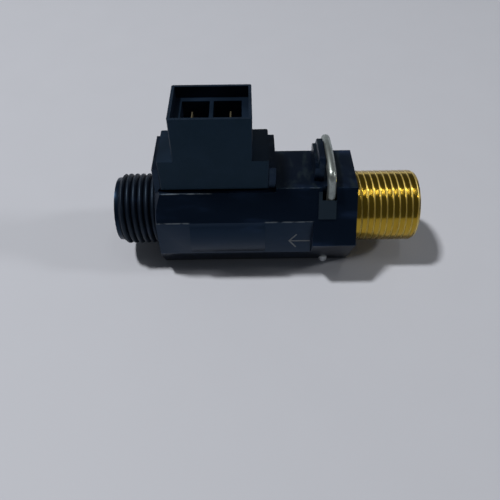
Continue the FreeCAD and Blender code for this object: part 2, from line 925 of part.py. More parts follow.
def reed_cover():
    """Plate that closes the reed chamber from below."""
    body = new_body("reed_cover")
    plate = new_sketch(body, "XY_Plane", d.seat_height)
    length, width = d.chamber_length / 2 - d.cover_play, d.chamber_half_depth - d.cover_play
    rectangle(plate, d.module_middle - length, d.module_middle + length, -width, width)
    pad(body, plate, d.cover_thick)
    return body


def terminal(label, side):
    """Bent strip: contact blade up through the cell's floor, foot outwards and down to the reed's lead."""
    body = new_body(label, x=d.module_middle)
    strip = new_sketch(body, "XZ_Plane")
    blade, thick = d.terminal_spacing / 2, d.blade_thick
    near, far = blade - thick / 2, blade + thick / 2
    lead_top = d.reed_height + d.lead_radius
    low, out = d.foot_top - thick, d.foot_reach + thick
    profile = [
        (near, low),
        (near, d.blade_tip - d.blade_point),
        (blade - thick / 4, d.blade_tip),
        (blade + thick / 4, d.blade_tip),
        (far, d.blade_tip - d.blade_point),
        (far, d.foot_top),
        (out, d.foot_top),
        (out, lead_top),
        (d.foot_reach, lead_top),
        (d.foot_reach, low),
    ]
    outline(strip, [(side * x, z) for x, z in profile])
    pad(body, strip, d.blade_width, both_ways=True)
    return body


def reed_glass():
    """Sealed glass tube with a lead through each end."""
    body = new_body("reed_glass", x=d.module_middle, z=d.reed_height)
    turning = new_sketch(body, "XZ_Plane")
    end, hole, bore = d.reed_length / 2, d.lead_radius + d.lead_play, d.reed_radius - d.reed_wall
    shoulder = [(end, hole), (end, bore), (end - d.reed_wall * 2, d.reed_radius)]
    cavity = [(end - d.reed_plug, bore), (end - d.reed_plug, hole)]
    outer = shoulder + [(-x, r) for x, r in reversed(shoulder)]
    inner = [(-x, r) for x, r in reversed(cavity)] + cavity
    outline(turning, outer + inner)
    turned(body, turning)
    return body


def reed_blade(label, side):
    """Round lead that becomes a flat spring contact inside the glass; the two blades lap with a gap."""
    height = d.axis_height + d.reed_height
    lead = doc.addObject("Part::Cylinder", f"{label}_lead")
    bind(lead, Radius=d.lead_radius, Height=d.lead_reach - d.lead_inner)
    lead.Placement.Rotation = FreeCAD.Rotation(FreeCAD.Vector(0, 1, 0), 90 * side)
    bind(lead, Placement__Base__x=d.module_middle + side * d.lead_inner, Placement__Base__z=height)
    contact = doc.addObject("Part::Box", f"{label}_contact")
    length = d.lead_inner + d.lead_radius + d.contact_lap
    bind(contact, Length=length, Width=d.contact_width, Height=d.contact_thick)
    start = -d.contact_lap if side > 0 else d.contact_lap - length
    level = d.contact_gap / 2 if side > 0 else -d.contact_gap / 2 - d.contact_thick
    bind(
        contact,
        Placement__Base__x=d.module_middle + start,
        Placement__Base__y=-d.contact_width / 2,
        Placement__Base__z=height + level,
    )
    blade = doc.addObject("Part::Fuse", label)
    blade.Label = label
    blade.Base = lead
    blade.Tool = contact
    return blade


# Export


def check_document():
    """Stops if any object of the document failed."""
    for thing in doc.Objects:
        if "Invalid" in thing.State or "Error" in thing.State:
            raise RuntimeError(f"{thing.Name} is {thing.State}")


def write_parts(parts):
    """Checks each piece and writes it to its own STEP file."""
    os.makedirs("parts", exist_ok=True)
    for part in parts:
        shape = part.Shape
        if shape.isNull() or not shape.isValid() or not shape.Solids:
            raise RuntimeError(f"{part.Label} has no valid solid")
    for part in parts:
        part.Shape.exportStep(os.path.join("parts", f"{part.Label}.step"))
        print(f"{part.Label}: {part.Shape.Volume:.2f} mm3 in {len(part.Shape.Solids)} solid")


d = fill_sheet()
pieces = [
    valve_body(),
    inlet_nipple(),
    inlet_o_ring(),
    retaining_clip(),
    strainer_frame(),
    strainer_mesh(),
    seat_ring(),
    seat_o_ring(),
    piston(),
    piston_magnet(),
    magnet_retainer(),
    return_spring(),
    spring_guide(),
    switch_housing(),
    reed_cover(),
    terminal("terminal_left", -1),
    terminal("terminal_right", 1),
    reed_glass(),
    reed_blade("reed_blade_left", -1),
    reed_blade("reed_blade_right", 1),
]
doc.recompute()
check_document()
write_parts(pieces)
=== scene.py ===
"""Flow switch for a half-inch water line: its looks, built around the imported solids."""

import json
import math
from functools import reduce

import bmesh
import bpy
import numpy as np
from bpy.props import FloatProperty, FloatVectorProperty, IntProperty, PointerProperty
from bpy.types import Operator, Panel, PropertyGroup
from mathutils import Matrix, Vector


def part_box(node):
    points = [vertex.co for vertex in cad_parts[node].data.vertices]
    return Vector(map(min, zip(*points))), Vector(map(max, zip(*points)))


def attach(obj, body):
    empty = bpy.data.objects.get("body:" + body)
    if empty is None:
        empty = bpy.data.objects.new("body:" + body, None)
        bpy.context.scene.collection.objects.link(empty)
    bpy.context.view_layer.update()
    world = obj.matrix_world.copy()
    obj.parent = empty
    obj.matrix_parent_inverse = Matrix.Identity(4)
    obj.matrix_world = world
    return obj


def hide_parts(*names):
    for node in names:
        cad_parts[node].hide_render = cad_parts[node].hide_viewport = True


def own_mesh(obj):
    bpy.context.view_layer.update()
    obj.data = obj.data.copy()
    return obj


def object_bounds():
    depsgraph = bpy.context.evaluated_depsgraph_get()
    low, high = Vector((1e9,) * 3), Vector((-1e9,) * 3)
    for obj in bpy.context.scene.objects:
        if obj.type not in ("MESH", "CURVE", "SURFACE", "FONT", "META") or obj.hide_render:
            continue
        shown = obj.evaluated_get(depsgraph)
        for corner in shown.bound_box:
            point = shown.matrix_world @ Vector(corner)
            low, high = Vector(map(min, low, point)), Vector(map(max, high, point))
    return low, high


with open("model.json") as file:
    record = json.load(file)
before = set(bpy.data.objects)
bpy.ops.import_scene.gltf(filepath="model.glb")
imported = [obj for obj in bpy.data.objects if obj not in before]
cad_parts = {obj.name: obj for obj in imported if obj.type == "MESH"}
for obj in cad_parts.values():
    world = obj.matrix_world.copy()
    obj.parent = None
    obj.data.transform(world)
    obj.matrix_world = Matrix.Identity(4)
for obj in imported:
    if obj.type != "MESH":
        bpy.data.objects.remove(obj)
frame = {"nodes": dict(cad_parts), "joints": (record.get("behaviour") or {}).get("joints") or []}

bl_info = {
    "name": "Flow switch",
    "version": (1, 0, 0),
    "blender": (4, 5, 0),
    "location": "View3D > Sidebar > Flow switch",
    "description": "Builds the looks of a half-inch flow switch around its packed solids",
    "category": "Object",
}


def joint(name):
    """One of the frame's joints."""
    return next(j for j in frame["joints"] if j["name"] == name)


# A millimetre, in metres

MM = 0.001

# Places that the frame gives, in metres

CAD_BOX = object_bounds()
AXIS = joint("inlet_swivel")["pos_m"][2]
BODY_LOW, BODY_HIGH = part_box("valve_body")
CLIP_LOW, CLIP_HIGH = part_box("retaining_clip")
MESH_LOW, MESH_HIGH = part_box("strainer_mesh")
NIPPLE_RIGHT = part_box("inlet_nipple")[1].x
SPRING_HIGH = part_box("return_spring")[1]
GUIDE_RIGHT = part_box("spring_guide")[1].x

# The body's hexagon lies on a flat, so its flats are as far from the flow axis as the table is. An upper
# facet is the plane COS30 * y + SIN30 * h = HEX_FLAT, h the height over the flow axis. The hexagon and its
# flange begin at HEX_LEFT and FLANGE_LEFT. The side flats are SIDE_FLAT from the axis, with a band sunk
# into them from BAND_LEFT to BAND_RIGHT, and the module's seat is SEAT above the axis.

COS30, SIN30 = math.cos(math.pi / 6), 0.5
HEX_FLAT = AXIS
HEX_LEFT = -31.5 * MM
SIDE_FLAT = 13.2 * MM
SEAT = 13.45 * MM
BAND_LEFT, BAND_RIGHT = -22.1 * MM, -0.9 * MM
FLANGE_LEFT = 12.5 * MM
SEAT_EDGE = ((HEX_FLAT - SIN30 * SEAT) / COS30, AXIS + SEAT)
SIDE_EDGE = (SIDE_FLAT, AXIS + (HEX_FLAT - COS30 * SIDE_FLAT) / SIN30)
TOP_EDGE = (HEX_FLAT * SIN30 / COS30, AXIS + HEX_FLAT)

# Threads: where on the flow axis a crest is on top, the share of half a pitch at which a groove in the
# brass begins, and a radius outside the plain CAD cylinders

OUTLET_CREST = -42.09 * MM
BRASS_CREST = 29.37 * MM
GROOVE = 0.74
CLEAR = 10.6 * MM

# The clip's wire radius, and the height over the flow axis above which it leans

CLIP_WIRE = 1.25 * MM
CLIP_BEND = 13.8 * MM

# Direction, distance and size of each lamp, in metres

LAMPS = {
    "key": ((-0.437, 0.085, 1.0), 1.1, (0.105, 0.105)),
    "fill": ((1.6, -0.08, 1.0), 1.5, (0.17, 0.17)),
    "strip": ((0.24, -0.09, 1.0), 1.5, (0.5, 0.05)),
}


# Sizes and colours that a user may change


def length(name, description, size):
    """Setting for a length, given in millimetres."""
    return FloatProperty(name=name, description=description, default=size * MM, unit="LENGTH")


def hue(name, description, default):
    """Setting for a colour."""
    return FloatVectorProperty(name=name, description=description, default=default, subtype="COLOR")


def power(name, description, default):
    """Setting for a lamp's power in watts."""
    return FloatProperty(name=name, description=description, default=default, unit="POWER")


class ThreadSettings(PropertyGroup):
    """Half-inch pipe thread on the outlet and on the brass inlet."""

    pitch: length("Pitch", "Distance between two crests", 1.814)
    crest: length("Crest radius", "Radius over the crests", 10.4775)
    outlet_root: length("Outlet root", "Radius between the moulded crests", 9.42)
    brass_root: length("Inlet root", "Radius between the brass crests", 9.85)
    columns: IntProperty(name="Facets", description="Facets round the thread", default=144, min=24)


class WireSettings(PropertyGroup):
    """Wires of the clip, the spring and the strainer."""

    clip_lean: FloatProperty(
        name="Clip lean",
        description="Lean of the bow towards the post",
        default=math.radians(4.5),
        unit="ROTATION",
    )
    clip_turn: length("Clip turn", "Radius of the bend above the legs", 8)
    clip_knee: length("Clip knee", "Radius of the knees beside the bow", 2)
    clip_bow: length("Clip bow", "Radius of the low bow between the knees", 28)
    clip_burr: length("Tip rounding", "Rounding of the cut ends", 0.14)
    spring_wire: length("Spring wire", "Radius of the spring's wire", 0.33)
    spring_turns: FloatProperty(name="Spring turns", description="Turns with both closed ends", default=7.5)
    mesh_wire: length("Strainer wire", "Radius of the strainer's wires", 0.06)
    mesh_wires: IntProperty(name="Strainer wires", description="Wires wound each way", default=26, min=4)


class FinishSettings(PropertyGroup):
    """Colours of the finishes."""

    body_plastic: hue("Body", "Glass-filled nylon of the body", (0.0017, 0.0032, 0.0078))
    module_plastic: hue("Module", "Satin plastic of the module", (0.0040, 0.0070, 0.0145))
    brass: hue("Brass", "Polished brass", (0.45, 0.290, 0.032))
    clip_steel: hue("Clip steel", "Zinc-plated spring wire", (0.345, 0.382, 0.364))
    contact: hue("Contacts", "Plated contact blades", (0.83, 0.70, 0.42))
    marking: hue("Marking", "Laser marked grey", (0.205, 0.220, 0.230))


class StageSettings(PropertyGroup):
    """Camera, lamps and table."""

    camera: FloatVectorProperty(
        name="Camera",
        description="Place of the camera",
        subtype="TRANSLATION",
        default=(-0.0057347, -0.1182068, 0.1243934),
    )
    turn: FloatVectorProperty(
        name="Turn",
        description="Turn of the camera",
        subtype="EULER",
        default=(math.radians(42.4147), math.radians(0.3972), math.radians(-0.7236)),
    )
    lens: FloatProperty(name="Lens", description="Focal length in millimetres", default=38.096)
    sensor: FloatProperty(name="Sensor", description="Width of the sensor in millimetres", default=36)
    key: power("Key light", "Power of the window light", 9.0)
    fill: power("Fill light", "Power of the fill light", 4.55)
    strip: power("Strip light", "Power of the faint strip above", 0.85)
    sky: FloatProperty(name="Room light", description="Strength of the room's light", default=0.076)
    wall: FloatProperty(name="Wall", description="Strength of the pale wall behind", default=0.85)
    table: hue("Table", "Colour of the table", (0.514, 0.526, 0.570))


# Meshes from arrays


def grid_faces(rows, columns):
    """Quads of a tube's grid: cell (i, j) joins rows i and i + 1 and columns j and j + 1, and the last
    column joins the first."""
    i, j = np.meshgrid(np.arange(rows - 1), np.arange(columns), indexing="ij")
    after = (j + 1) % columns
    cells = [i * columns + j, i * columns + after, (i + 1) * columns + after, (i + 1) * columns + j]
    return np.stack(cells, -1).reshape(-1, 4)


def bar_faces(sections):
    """Quads of a bar whose sections have four corners: those of its sides, and one at each end."""
    ends = np.array([[0, 1, 2, 3], [3, 2, 1, 0]]) + np.array([[0], [4 * (sections - 1)]])
    return np.concatenate([grid_faces(sections, 4), ends])


def piece(name, points, faces, sharp):
    """Object from an array of points and one of faces: equal points are merged, which closes seams and
    poles, faces without area go, and the rest turn outwards. Edges over an angle in degrees stay sharp."""
    same_place, no_area = 1e-7, 1e-8
    mesh = bpy.data.meshes.new(name)
    mesh.from_pydata(np.asarray(points).reshape(-1, 3).tolist(), [], np.asarray(faces).tolist())
    shell = bmesh.new()
    shell.from_mesh(mesh)
    bmesh.ops.remove_doubles(shell, verts=shell.verts, dist=same_place)
    bmesh.ops.dissolve_degenerate(shell, edges=shell.edges, dist=no_area)
    bmesh.ops.recalc_face_normals(shell, faces=shell.faces)
    shell.to_mesh(mesh)
    shell.free()
    mesh.shade_smooth()
    mesh.set_sharp_from_angle(angle=math.radians(sharp))
    made = bpy.data.objects.new(name, mesh)
    bpy.context.scene.collection.objects.link(made)
    return made


def welded(node):
    """Points and triangles of a CAD node: corners at one place, to a tenth of a micrometre, become one
    point."""
    decimals = 7
    mesh = frame["nodes"][node].data
    mesh.calc_loop_triangles()
    places = np.empty(len(mesh.vertices) * 3, np.float32)
    mesh.vertices.foreach_get("co", places)
    corners = np.empty(len(mesh.loop_triangles) * 3, np.int32)
    mesh.loop_triangles.foreach_get("vertices", corners)
    points, index = np.unique(np.round(places.reshape(-1, 3), decimals), axis=0, return_inverse=True)
    triangles = index.ravel()[corners].reshape(-1, 3)
    whole = (triangles != np.roll(triangles, 1, axis=1)).all(axis=1)
    return points.astype(float), triangles[whole]


def softened(name, points, triangles, width):
    """Copy of a CAD solid whose flat faces are made whole and whose sharp edges are rounded by a narrow
    bevel."""
    flat, sharp = 0.6, 30.0
    made = piece(name, points, triangles, sharp)
    shell = bmesh.new()
    shell.from_mesh(made.data)
    bmesh.ops.dissolve_limit(shell, angle_limit=math.radians(flat), verts=shell.verts, edges=shell.edges)
    shell.to_mesh(made.data)
    shell.free()
    bevel = made.modifiers.new("edge_rounding", "BEVEL")
    bevel.width = width
    bevel.segments = 2
    bevel.limit_method = "ANGLE"
    bevel.angle_limit = math.radians(sharp)
    bevel.harden_normals = True
    return made


def drawn_in(points, left, right, low, high, radius):
    """Points between two planes across the flow axis, and between two radii round it, move to one smaller
    radius."""
    across = points[:, 1:] - (0, AXIS)
    distance = np.hypot(across[:, 0], across[:, 1])
    inside = (points[:, 0] > left) & (points[:, 0] < right) & (distance > low) & (distance < high)
    moved = points.copy()
    moved[inside, 1:] = (0, AXIS) + across[inside] * (radius / distance[inside])[:, None]
    return moved


def smooth_step(value, start, end):
    """Cubic step 3t^2 - 2t^3 of t, which runs from 0 at start to 1 at end."""
    share = np.clip((value - start) / (end - start), 0, 1)
    return share * share * (3 - 2 * share)


def turned(x, radius, angle):
    """Points at x along the flow axis, and at a radius and an angle round it."""
    places = np.broadcast_arrays(x, radius * np.cos(angle), AXIS + radius * np.sin(angle))
    return np.stack(places, -1)


def thread_sleeve(name, settings, left, right, inner, crest, form, rows):
    """Thread as a closed sleeve. At the angle a, a point is x = pitch * (turns + a / 2 pi), and its y and z
    are the radius form(x, turn) times cos a and sin a, so each strip of the grid follows the helix, with
    one crest on top at the place given. The sleeve stops at two planes, where the radius no longer depends
    on the turn, and an inner wall closes it."""
    columns, pitch = settings.columns, settings.pitch
    lines = rows * int(math.ceil((right - left) / pitch) + 3)
    line, column = np.meshgrid(np.arange(lines), np.arange(columns), indexing="ij")
    first = left - 2 * pitch + (crest - left + pitch / 4) % pitch
    x = np.clip(first + pitch * (line / rows + column / columns), left, right)
    radius = form(x, (line % rows) / rows)
    angle = 2 * np.pi * np.arange(columns) / columns
    outside = turned(x, radius, angle)
    i, j = np.meshgrid(np.arange(lines - 1), np.arange(columns), indexing="ij")
    after, seam = (j + 1) % columns, rows * ((j + 1) // columns)
    near = [i * columns + j, (i + seam) * columns + after]
    far = [(i + 1 + seam) * columns + after, (i + 1) * columns + j]
    cells = np.stack(near + far, -1).reshape(-1, 4)
    cells = cells[cells.max(axis=1) < lines * columns]
    ends = np.array([left, left, right, right])
    walls = np.array([form(np.array(left), 0.0), inner, inner, form(np.array(right), 0.0)])
    wall = turned(ends[:, None], walls[:, None], angle)
    points = np.concatenate([outside.reshape(-1, 3), wall.reshape(-1, 3)])
    faces = np.concatenate([cells, grid_faces(4, columns) + lines * columns])
    return piece(name, points, faces, sharp=60.0)


def swept(name, route, across, lengths, radii, sides):
    """Wire: each ring is a circle of its own radius round its point of the route. Its plane holds n, the
    part of the direction across that stands square to the route's own direction t, and t x n."""
    step = 1e-6
    centre = route(lengths)
    along = route(lengths + step) - route(lengths - step)
    along /= np.linalg.norm(along, axis=1, keepdims=True)
    aside = across(lengths)
    normal = aside - (aside * along).sum(1, keepdims=True) * along
    normal /= np.linalg.norm(normal, axis=1, keepdims=True)
    angle = 2 * np.pi * np.arange(sides)[None, :, None] / sides
    ring = np.cos(angle) * normal[:, None] + np.sin(angle) * np.cross(along, normal)[:, None]
    rings = centre[:, None] + radii[:, None, None] * ring
    return piece(name, rings, grid_faces(len(lengths), sides), sharp=50.0)


def cut_ends(whole, radius, burr, count):
    """Places along a wire and its radius there: flat cut ends whose rim is a quarter circle, plain between
    them."""
    angle = np.linspace(0, np.pi / 2, 5)
    start = np.concatenate([[0.0], burr * (1 - np.cos(angle))])
    swell = np.concatenate([[0.0], radius - burr + burr * np.sin(angle)])
    middle = np.linspace(burr, whole - burr, count)[1:-1]
    lengths = np.concatenate([start, middle, whole - start[::-1]])
    return lengths, np.concatenate([swell, np.full(len(middle), radius), swell[::-1]])


def wound_wires(left, right, middle, thick, count):
    """Points and faces of wires wound both ways. Wire i starts at the angle 2 pi i / count and turns by its
    length over the middle radius, the first half of the wires one way outside that radius and the others
    the other way inside it. A section has four corners on a circle round the wire."""
    steps = 56
    share = np.linspace(0, 1, steps)[None, :, None]
    side = 2 * np.pi * (np.arange(4)[None, None, :] + 0.5) / 4
    wire = np.arange(2 * count)[:, None, None]
    hand = np.where(wire < count, 1.0, -1.0)
    radius = middle + hand * thick + thick * np.cos(side)
    turn = hand * (right - left) / middle * share
    angle = 2 * np.pi * wire / count + turn + thick * np.sin(side) / middle
    points = turned(left + (right - left) * share, radius, angle)
    faces = bar_faces(steps)[None] + 4 * steps * wire
    return points, faces.reshape(-1, 4)


def arrow_strips(tip, tail, barb, stroke):
    """Strips of point pairs in x and z, one stroke to each side of a middle line: the chevron, from the end
    of one barb over a mitred tip to the mirrored end of the other, and the shaft from just inside the tip
    to the tail."""
    overlap = 0.3 * MM
    lean = barb / np.linalg.norm(barb)
    square = stroke * np.array([-lean[1], lean[0]])
    mitre = np.array([stroke / lean[1], 0.0])
    mirror = np.array([1.0, -1.0])
    half = np.array([0.0, stroke])
    neck = tip + [overlap, 0.0]
    chevron = np.array([
        [tip + barb + square, tip + barb - square],
        [tip - mitre, tip + mitre],
        [tip + mirror * (barb + square), tip + mirror * (barb - square)],
    ])
    return chevron, np.array([[neck + half, neck - half], [tail + half, tail - half]])


def ribbon(strip, front, back):
    """Flat bar: each pair of points across the strip gives the four corners of a section between two
    depths."""
    corners = strip[:, [0, 1, 1, 0]]
    depth = np.broadcast_to([front, front, back, back], corners.shape[:2])
    return np.stack([corners[..., 0], depth, corners[..., 1]], -1)


# Finishes


def shade(colour, factor):
    """A colour made darker or paler by one factor."""
    return tuple(factor * c for c in colour)


class Finish:
    """One material: most methods add a node and return its output, and shader holds the Principled node."""

    def __init__(self, name, **fixed):
        self.material = bpy.data.materials.new(name)
        self.material.use_nodes = True
        self.tree = self.material.node_tree
        self.tree.nodes.clear()
        self.shader = self.tree.nodes.new("ShaderNodeBsdfPrincipled")
        output = self.tree.nodes.new("ShaderNodeOutputMaterial")
        self.tree.links.new(self.shader.outputs[0], output.inputs["Surface"])
        self.place = self.tree.nodes.new("ShaderNodeTexCoord").outputs["Object"]
        self.x, self.y, self.z = self.add("ShaderNodeSeparateXYZ", Vector=self.place).outputs
        for socket, value in fixed.items():
            self.put(socket.replace("_", " "), value)

    def add(self, kind, settings=(), **inputs):
        """A node with its settings and its inputs, each a number, a colour or another node's output."""
        node = self.tree.nodes.new(kind)
        for key, value in dict(settings).items():
            setattr(node, key, value)
        for key, value in inputs.items():
            socket = node.inputs[int(key[1:])] if key[1:].isdigit() else node.inputs[key.replace("_", " ")]
            self.join(socket, value)
        return node

    def join(self, socket, value):
        """Links an output to a socket, or sets the socket's own value."""
        if isinstance(value, bpy.types.NodeSocket):
            self.tree.links.new(value, socket)
        elif hasattr(value, "__len__") and len(value) == 3 and socket.type == "RGBA":
            socket.default_value = (*value, 1.0)
        else:
            socket.default_value = value

    def put(self, socket, value):
        """Sets or links one of the shader's sockets."""
        self.join(self.shader.inputs[socket], value)

    def calc(self, operation, *values):
        """One step of arithmetic."""
        inputs = {f"_{i}": value for i, value in enumerate(values)}
        return self.add("ShaderNodeMath", {"operation": operation}, **inputs).outputs[0]

    def linear(self, value, gain, start):
        """The sum of start and gain times the value."""
        return self.calc("MULTIPLY_ADD", value, gain, start)

    def product(self, *values):
        """All values multiplied."""
        return reduce(lambda one, other: self.calc("MULTIPLY", one, other), values)

    def largest(self, *values):
        """The largest of the values."""
        return reduce(lambda one, other: self.calc("MAXIMUM", one, other), values)

    def within(self, value, middle, half):
        """One where the value is nearer to the middle than half, and zero elsewhere."""
        away = self.calc("ABSOLUTE", self.calc("SUBTRACT", value, middle))
        return self.calc("LESS_THAN", away, half)

    def between(self, value, start, end):
        """Smooth change from 0 to 1 while the value goes from start to end."""
        step = {"interpolation_type": "SMOOTHSTEP"}
        return self.add("ShaderNodeMapRange", step, Value=value, From_Min=start, From_Max=end).outputs[0]

    def noise(self, scale, detail=2.0, stretch=(1, 1, 1)):
        """Noise from 0 to 1 whose cells are 1 / scale metres wide, over the stretch along each axis."""
        place = self.add("ShaderNodeMapping", Vector=self.place, Scale=stretch).outputs[0]
        return self.add("ShaderNodeTexNoise", Vector=place, Scale=scale, Detail=detail).outputs[0]

    def mix(self, share, first, second):
        """Colour between two colours."""
        return self.add("ShaderNodeMix", {"data_type": "RGBA"}, _0=share, _6=first, _7=second).outputs[2]

    def edge(self, y, z, start, end, width):
        """Lighter band for wear and painted highlight along a pair of straight edges at y and -y, between
        two places on the flow axis.
        """
        fade = 0.4 * MM
        section = self.add("ShaderNodeCombineXYZ", Y=self.calc("ABSOLUTE", self.y), Z=self.z).outputs[0]
        measure = self.add("ShaderNodeVectorMath", {"operation": "DISTANCE"}, _0=section, _1=(0, y, z))
        near = self.between(measure.outputs["Value"], width, 0.3 * width)
        begins = self.between(self.x, start - fade, start + fade)
        stops = self.between(self.x, end + fade, end - fade)
        return self.product(near, begins, stops)

    def done(self, base, rough, relief=None, depth=0.0, strength=1.0):
        """Sets the colour, the roughness and any relief of a depth in metres, and gives the material."""
        self.put("Base Color", base)
        self.put("Roughness", rough)
        if relief is not None:
            bump = self.add("ShaderNodeBump", Strength=strength, Distance=depth, Height=relief)
            self.put("Normal", bump.outputs[0])
        return self.material


def nylon(name, colour, level, tint, rough):
    """Start of both nylon finishes: a finish, its nearly black colour with faint flow marks, its roughness
    and its fine grain."""
    finish = Finish(name, IOR=1.5, Specular_IOR_Level=level, Specular_Tint=tint)
    flow = finish.noise(220, detail=3.0, stretch=(0.35, 1, 1))
    base = finish.mix(finish.between(flow, 0.52, 0.78), colour, shade(colour, 4.2))
    return finish, base, finish.linear(flow, 0.16, rough), finish.noise(5200)


def pad_face(finish):
    """One on the spark-eroded faces of the two clip pads, which stand a little further out than the facets
    and fill a part of them in y and in x."""
    lift, slack = 0.3 * MM, 0.12 * MM
    middle_x, half_x = 16.35 * MM, 2.45 * MM
    middle_y, half_y = 11.13 * MM, 1.95 * MM
    out = finish.calc("ABSOLUTE", finish.y)
    height = finish.calc("SUBTRACT", finish.z, AXIS)
    facet = finish.linear(out, COS30, finish.product(height, SIN30))
    return finish.product(
        finish.within(facet, HEX_FLAT + lift, slack),
        finish.within(out, middle_y, half_y),
        finish.within(finish.x, middle_x, half_x),
    )


def worn_and_highlit_edges(finish):
    """Wear and painted highlight on the edges of the module's seat, of the side flats left and right of
    their band, and less on those of the top, broken up by chips."""
    width, narrow = 0.32 * MM, 0.24 * MM
    seat_run, top_run = (-29.6 * MM, -15.5 * MM), (2.6 * MM, 14.0 * MM)
    chips = finish.between(finish.noise(900, detail=4.0, stretch=(0.5, 1, 1)), 0.35, 0.6)
    seat = finish.edge(*SEAT_EDGE, *seat_run, width)
    left = finish.edge(*SIDE_EDGE, HEX_LEFT, BAND_LEFT, width)
    right = finish.edge(*SIDE_EDGE, BAND_RIGHT, FLANGE_LEFT, width)
    top = finish.edge(*TOP_EDGE, *top_run, narrow)
    return finish.product(finish.largest(seat, left, right, finish.product(top, 0.5)), chips)


def body_plastic(colour):
    """Glass-filled nylon of the body: edges lighter for wear and painted highlight, dust smudges on top and
    matt clip pads.
    """
    rubbed_and_highlit, dust, matt = (0.10, 0.115, 0.125), (0.010, 0.015, 0.018), (0.011, 0.016, 0.020)
    tint = (0.28, 0.56, 1.0)
    finish, base, rough, grain = nylon("body_plastic", colour, level=0.46, tint=tint, rough=0.24)
    wear_and_highlight, pads = worn_and_highlit_edges(finish), pad_face(finish)
    top = AXIS + HEX_FLAT
    high = finish.between(finish.z, top - 0.3 * MM, top - 0.1 * MM)
    smudge = finish.between(finish.noise(420, detail=5.0, stretch=(1, 0.5, 1)), 0.50, 0.70)
    # Lighter edge lines: partly rubbed wear, partly a painted highlight on the rounded edges.
    base = finish.mix(wear_and_highlight, base, rubbed_and_highlit)
    base = finish.mix(finish.product(high, smudge), base, dust)
    base = finish.mix(pads, base, matt)
    rough = finish.linear(finish.largest(wear_and_highlight, pads), 0.25, rough)
    return finish.done(base, rough, grain, depth=0.006 * MM, strength=0.6)


def thread_plastic(colour):
    """The same nylon on the outlet's thread, duller and less blue."""
    tint = (0.50, 0.72, 1.0)
    finish, base, rough, grain = nylon("thread_plastic", colour, level=0.42, tint=tint, rough=0.45)
    return finish.done(base, rough, grain, depth=0.006 * MM, strength=0.6)


def module_plastic(colour):
    """Satin moulded plastic: spark-eroded grain and slow changes of gloss."""
    finish = Finish("module_plastic", IOR=1.48, Specular_IOR_Level=0.37, Specular_Tint=(0.24, 0.64, 1.0))
    cloud = finish.noise(160, detail=3.0)
    base = finish.mix(finish.between(cloud, 0.35, 0.7), colour, shade(colour, 1.6))
    rough, grain = finish.linear(cloud, 0.14, 0.38), finish.noise(4200, detail=3.0)
    return finish.done(base, rough, grain, depth=0.012 * MM, strength=0.7)


def groove_face(finish, pitch):
    """One in the brass thread's grooves: t = x / pitch - angle / 2 pi, counted from a groove, is whole in
    their middle."""
    angle = finish.calc("ARCTAN2", finish.calc("SUBTRACT", finish.z, AXIS), finish.y)
    along = finish.calc("DIVIDE", finish.calc("SUBTRACT", finish.x, BRASS_CREST - 0.75 * pitch), pitch)
    turn = finish.calc("FRACT", finish.linear(angle, -0.5 / math.pi, along))
    aside = finish.calc("ABSOLUTE", finish.linear(turn, 2.0, -1.0))
    return finish.between(aside, GROOVE + 0.02, GROOVE + 0.12)


def brass(name, colour, pitch=None):
    """Turned and polished brass: fine lines round the axis, which spread its gloss along the axis, and a
    little tarnish. With a pitch, the thread's grooves are duller and painted paler, a painted sheen for the
    light lines they catch."""
    finish = Finish(name, Metallic=1.0, Anisotropic=0.6)
    finish.put("Tangent", finish.add("ShaderNodeCombineXYZ", X=1.0).outputs[0])
    lines = finish.noise(4200, detail=3.0, stretch=(1, 0.02, 0.02))
    cloud = finish.noise(330, detail=4.0)
    pale, dulling = (0.97, 0.87, 0.50), (0.85, 0.80, 0.7)
    tarnish = tuple(c * part for c, part in zip(colour, dulling))
    base = finish.mix(finish.between(cloud, 0.5, 0.8), colour, tarnish)
    rough = finish.linear(cloud, 0.08, 0.14)
    if pitch is not None:
        groove = groove_face(finish, pitch)
        # Painted sheen: the grooves get the pale colour to show the light lines they catch.
        base = finish.mix(groove, base, pale)
        rough = finish.linear(groove, 0.27, rough)
    return finish.done(base, rough, lines, depth=0.01 * MM, strength=0.6)


def drawn_steel(name, colour, scale=2600, rough=0.28, ends=None):
    """Drawn wire with a dull zinc coat: fine streaks, small dark pits and clouded gloss. Below the height
    given as ends, where that is given, the wire is paler and rougher."""
    pale_tip_colour, fade = (0.82, 0.85, 0.87), 0.9 * MM
    finish = Finish(name, Metallic=0.85)
    cloud = finish.noise(scale * 0.2, detail=4.0)
    pits = finish.between(finish.noise(scale, detail=3.0), 0.62, 0.72)
    base = finish.mix(finish.between(cloud, 0.3, 0.75), colour, shade(colour, 0.75))
    base = finish.mix(pits, base, shade(colour, 0.45))
    gloss = finish.linear(cloud, 0.2, rough)
    if ends is not None:
        # Paler and rougher towards the bottom of the legs.
        tip_share = finish.between(finish.z, ends + fade, ends)
        base = finish.mix(tip_share, base, pale_tip_colour)
        gloss = finish.linear(tip_share, 0.35, gloss)
    streaks = finish.noise(scale, detail=2.0, stretch=(1, 1, 0.15))
    return finish.done(base, gloss, streaks, depth=0.008 * MM, strength=0.5)


def plated_contact(colour):
    """Stamped blade with a thin plated coat and rolling lines along it."""
    finish = Finish("plated_contact", Metallic=1.0)
    lines = finish.noise(7000, detail=2.0, stretch=(1, 1, 0.05))
    base = finish.mix(lines, colour, shade(colour, 0.8))
    return finish.done(base, finish.linear(lines, 0.15, 0.22), lines, depth=0.004 * MM, strength=0.5)


def moulded(name, colour, rough, depth, scale=3000, **fixed):
    """Plain moulded or pressed material: colour clouds, uneven gloss and a fine relief."""
    finish = Finish(name, **fixed)
    cloud = finish.noise(scale * 0.12, detail=3.0)
    base = finish.mix(cloud, colour, shade(colour, 0.8))
    gloss, relief = finish.linear(cloud, 0.15, rough), finish.noise(scale, detail=3.0)
    return finish.done(base, gloss, relief, depth=depth, strength=0.6)


